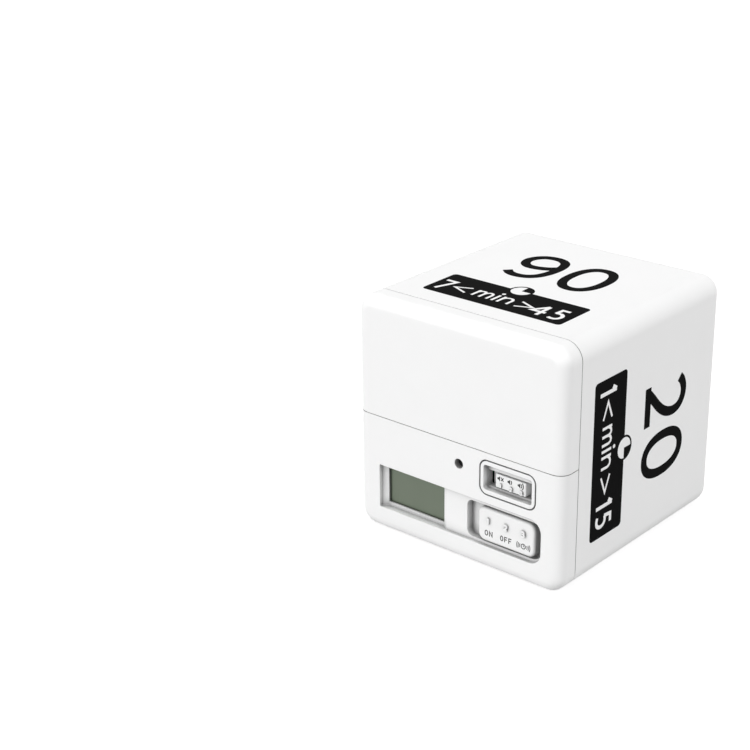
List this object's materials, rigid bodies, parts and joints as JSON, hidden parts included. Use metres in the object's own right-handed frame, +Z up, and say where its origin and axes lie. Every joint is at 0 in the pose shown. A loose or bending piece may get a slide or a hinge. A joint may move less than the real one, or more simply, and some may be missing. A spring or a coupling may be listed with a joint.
{
  "type": "cube timer",
  "caption": "Cube countdown timer set by turning a numbered side up, with a display, a volume slider, a mode slider and a battery door on its control face.",
  "frame": {"origin": "middle of the underside, where the cube stands on the surface", "axes": "+Z up, the control face looks along -Y, +X to the right as one faces the control face"},
  "size_m": [0.06, 0.064, 0.06],
  "materials": {
    "white_case": "satin moulded plastic",
    "white_slider": "fine matte moulded plastic",
    "inner_plastic": "plain moulded plastic",
    "display": "grey-green reflective liquid crystal display",
    "connector_rubber": "soft matte",
    "board": "solder resist on laminate",
    "tinned_steel": "tin plated",
    "bright_steel": "nickel plated",
    "screw_steel": "zinc plated",
    "black_plastic": "black, smooth",
    "sensor_plastic": "cream moulded plastic",
    "capacitor_sleeve": "printed sleeve",
    "cell_sleeve": "plain shrink sleeve",
    "black_insulation": "wire insulation",
    "red_insulation": "wire insulation"
  },
  "bodies": {
    "body": {"body_shell": "white_case", "control_panel": "white_case", "volume_bezel": "white_case", "lcd_panel": "display", "lcd_holder": "inner_plastic", "zebra_strip": "connector_rubber", "circuit_board": "board", "volume_switch": "tinned_steel", "mode_switch": "tinned_steel", "controller_chip": "black_plastic", "buzzer": "black_plastic", "sensor_case": "sensor_plastic", "sensor_lid": "sensor_plastic", "crystal": "tinned_steel", "capacitor": "capacitor_sleeve", "inner_frame": "inner_plastic", "battery_upper": "cell_sleeve", "battery_lower": "cell_sleeve", "contact_plate_negative": "bright_steel", "contact_plate_positive": "bright_steel", "contact_bridge": "bright_steel", "contact_spring_upper": "bright_steel", "contact_spring_lower": "bright_steel", "lead_negative": "black_insulation", "lead_positive": "red_insulation", "board_screw_1": "screw_steel", "board_screw_2": "screw_steel", "board_screw_3": "screw_steel", "panel_screw_1": "screw_steel", "panel_screw_2": "screw_steel", "panel_screw_3": "screw_steel"},
    "door": {"battery_door": "white_case"},
    "volume_slider": {"volume_knob": "white_slider", "volume_switch_lever": "black_plastic"},
    "mode_plate": {"mode_slider": "white_slider", "mode_slider_clip": "inner_plastic", "mode_switch_lever": "black_plastic"},
    "ball": {"sensor_ball": "bright_steel"}
  },
  "joints": [
    {"name": "battery_door_pull", "type": "slide", "parent": "body", "child": "door", "axis": [0, -1, 0], "range_m": [0, 0.02]},
    {"name": "volume_slide", "type": "slide", "parent": "body", "child": "volume_slider", "axis": [1, 0, 0], "range_m": [-0.002, 0.002]},
    {"name": "mode_slide", "type": "slide", "parent": "body", "child": "mode_plate", "axis": [1, 0, 0], "range_m": [-0.0015, 0.0015]},
    {"name": "ball_roll", "type": "slide", "parent": "body", "child": "ball", "axis": [0, 0, 1], "range_m": [0, 0.0026]}
  ]
}
